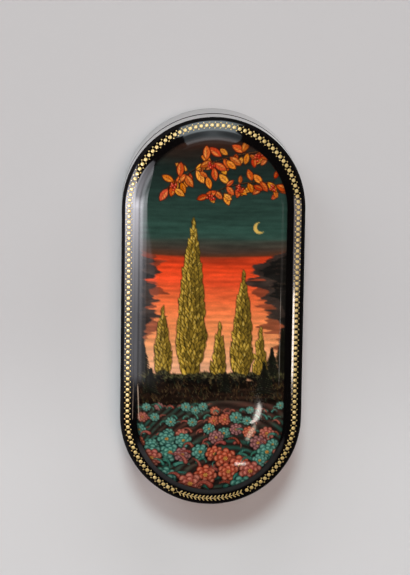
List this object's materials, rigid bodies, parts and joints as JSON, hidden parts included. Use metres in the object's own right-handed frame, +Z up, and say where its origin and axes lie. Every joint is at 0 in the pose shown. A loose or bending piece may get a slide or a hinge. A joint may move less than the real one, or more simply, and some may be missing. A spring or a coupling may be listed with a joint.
{
  "type": "long hinged lacquered box",
  "caption": "Long black lacquered box with half-round ends, a crowned painted lid and a hinge let into one side, red inside.",
  "frame": {"origin": "middle of the underside, on the surface that the box stands on", "axes": "+Z up, +Y along the box towards the painting's upper end, +X across it, away from the hinge"},
  "size_m": [0.075, 0.162, 0.039],
  "materials": {
    "black_lacquer": "wood under black gloss lacquer, polished",
    "red_lacquer": "wood under red gloss lacquer",
    "painted_lid": "wood under black gloss lacquer, with a painted panel and a gold chain line",
    "hinge_brass": "satin brass",
    "pin_steel": "drawn steel wire"
  },
  "bodies": {
    "box": {"bottom_board": "black_lacquer", "body_wall": "black_lacquer", "inner_collar": "red_lacquer", "hinge_body_leaf": "hinge_brass", "hinge_pin": "pin_steel", "body_leaf_nails": "hinge_brass"},
    "lid": {"lid_wall": "black_lacquer", "lid_board": "painted_lid", "hinge_lid_leaf": "hinge_brass", "lid_leaf_nails": "hinge_brass"}
  },
  "joints": [
    {"name": "lid_hinge", "type": "hinge", "parent": "box", "child": "lid", "pos_m": [-0.0362, 0, 0.02013], "axis": [0, -1, 0], "range_deg": [0, 95]}
  ]
}
